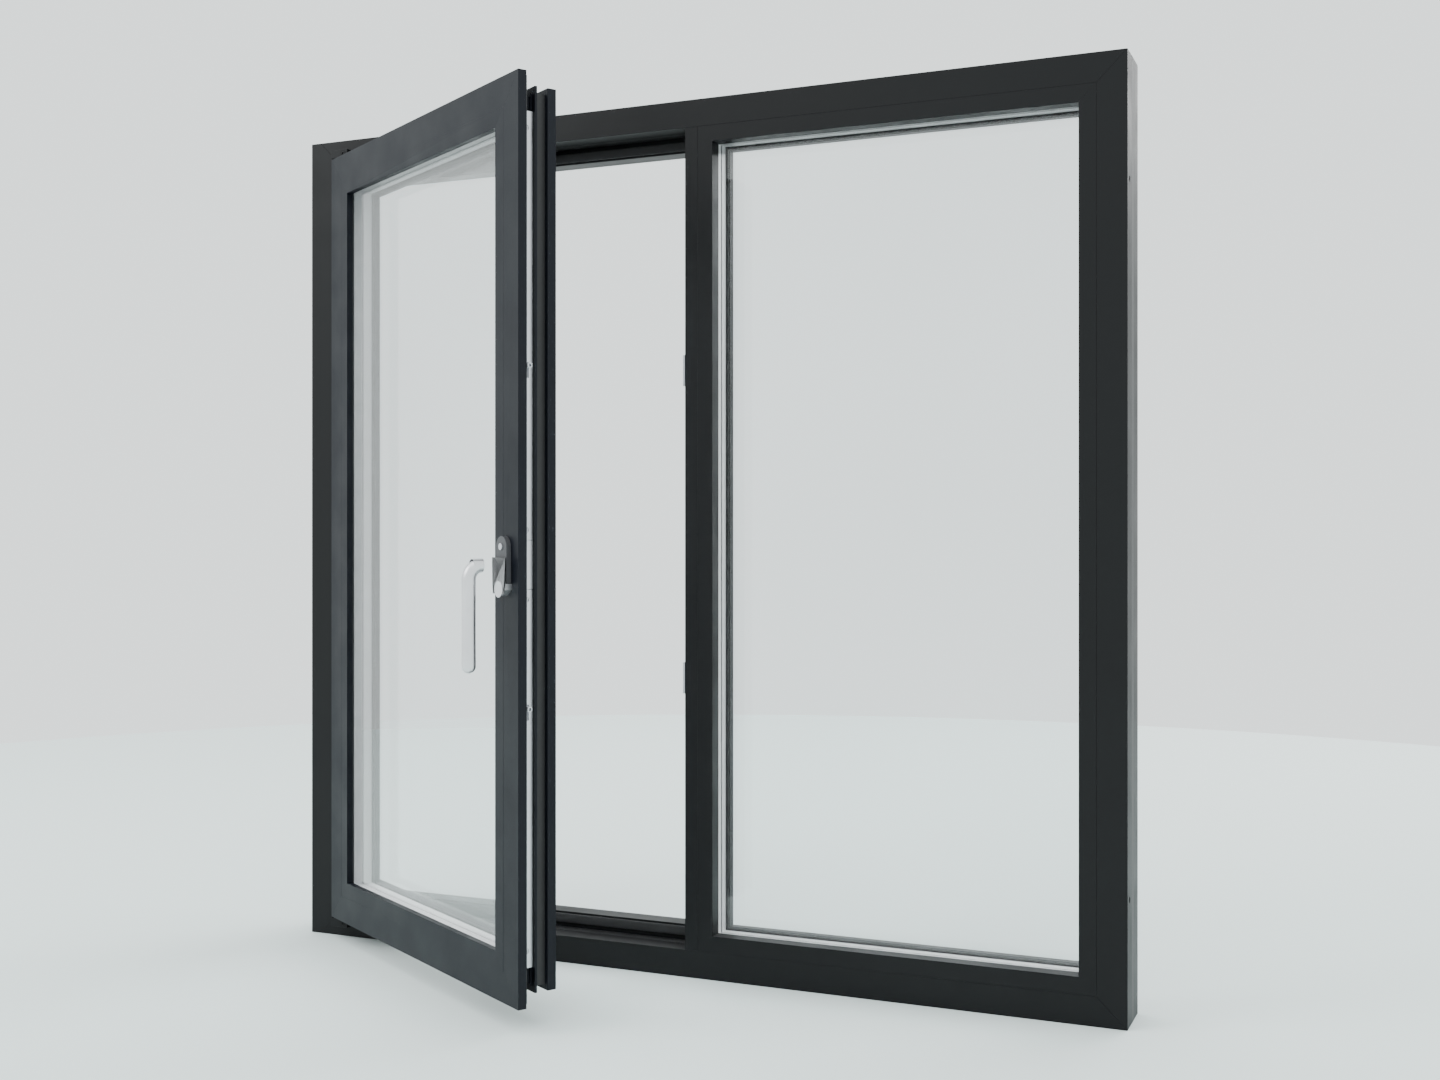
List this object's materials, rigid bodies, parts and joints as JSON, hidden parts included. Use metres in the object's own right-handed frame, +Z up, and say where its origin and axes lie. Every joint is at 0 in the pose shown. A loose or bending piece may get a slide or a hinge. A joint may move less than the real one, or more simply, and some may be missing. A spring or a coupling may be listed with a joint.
{
  "type": "casement_window",
  "caption": "Two-light anthracite aluminium window: inward-opening triple-glazed casement with a lever handle beside a fixed light",
  "frame": {"origin": "middle of the sill's underside at half the frame's depth", "axes": "+X right seen from the room, +Y to the outside, +Z up"},
  "size_m": [1.17, 0.4123, 1.15],
  "materials": {
    "frame_coating": "fine matte powder coat, anthracite",
    "sash_coating": "fine matte powder coat, anthracite",
    "polyamide": "black glass-filled polyamide",
    "seal_rubber": "black rubber",
    "glass": "clear float glass",
    "spacer_metal": "bright aluminium spacer bar",
    "edge_sealant": "dark edge sealant",
    "block_plastic": "dark moulded plastic",
    "cleat_aluminium": "mill finish",
    "hardware_steel": "silver passivated steel",
    "dark_steel": "anthracite coated steel",
    "satin_aluminium": "satin anodised"
  },
  "bodies": {
    "frame": {"centre_seal": "seal_rubber", "drain_caps": "frame_coating", "fixed_edge_sealant": "edge_sealant", "fixed_glazing_beads": "frame_coating", "fixed_glazing_gaskets": "seal_rubber", "fixed_pane_inner": "glass", "fixed_pane_middle": "glass", "fixed_pane_outer": "glass", "fixed_setting_blocks": "block_plastic", "fixed_spacers": "spacer_metal", "frame_corner_cleats": "cleat_aluminium", "frame_thermal_breaks": "polyamide", "head_inner": "frame_coating", "head_outer": "frame_coating", "hinge_jamb_inner": "frame_coating", "hinge_jamb_outer": "frame_coating", "keeper_screws": "hardware_steel", "keepers": "hardware_steel", "lock_jamb_inner": "frame_coating", "lock_jamb_outer": "frame_coating", "mullion_cleats": "cleat_aluminium", "mullion_inner": "frame_coating", "mullion_outer": "frame_coating", "pivot_brackets": "dark_steel", "pivot_pins": "hardware_steel", "pivot_screws": "dark_steel", "sill_inner": "frame_coating", "sill_outer": "frame_coating", "stop_profiles": "frame_coating"},
    "sash": {"sash_bottom_rail_inner": "sash_coating", "sash_bottom_rail_outer": "sash_coating", "sash_corner_cleats": "cleat_aluminium", "sash_edge_sealant": "edge_sealant", "sash_glazing_beads": "sash_coating", "sash_glazing_gaskets": "seal_rubber", "sash_hinge_stile_inner": "sash_coating", "sash_hinge_stile_outer": "sash_coating", "sash_lock_stile_inner": "sash_coating", "sash_lock_stile_outer": "sash_coating", "sash_pane_inner": "glass", "sash_pane_middle": "glass", "sash_pane_outer": "glass", "sash_setting_blocks": "block_plastic", "sash_spacers": "spacer_metal", "sash_thermal_breaks": "polyamide", "sash_top_rail_inner": "sash_coating", "sash_top_rail_outer": "sash_coating", "overlap_seal": "seal_rubber", "faceplate": "hardware_steel", "faceplate_screws": "hardware_steel", "gearbox_case": "hardware_steel", "pivot_bushes": "polyamide", "rosette_base": "block_plastic", "rosette_cover": "satin_aluminium", "handle_screws": "hardware_steel"},
    "handle": {"handle_lever": "satin_aluminium", "handle_spindle": "hardware_steel", "pinion": "hardware_steel"},
    "lock": {"lock_bar": "hardware_steel", "lock_cams": "hardware_steel"}
  },
  "joints": [
    {"name": "sash_turn", "type": "hinge", "parent": "frame", "child": "sash", "pos_m": [-0.5345, -0.0465, 0.575], "axis": [0, 0, -1], "range_deg": [-30.9, 59.1]},
    {"name": "handle_turn", "type": "hinge", "parent": "sash", "child": "handle", "pos_m": [-0.08598, -0.32134, 0.545], "axis": [0.5135, 0.8581, 0], "range_deg": [0, 90]},
    {"name": "lock_slide", "type": "slide", "parent": "sash", "child": "lock", "axis": [0, 0, -1], "range_m": [0, 0.0096]}
  ],
  "couplings": [
    {"joint": "lock_slide", "follows": "handle_turn", "m_per_rad": 0.006}
  ]
}
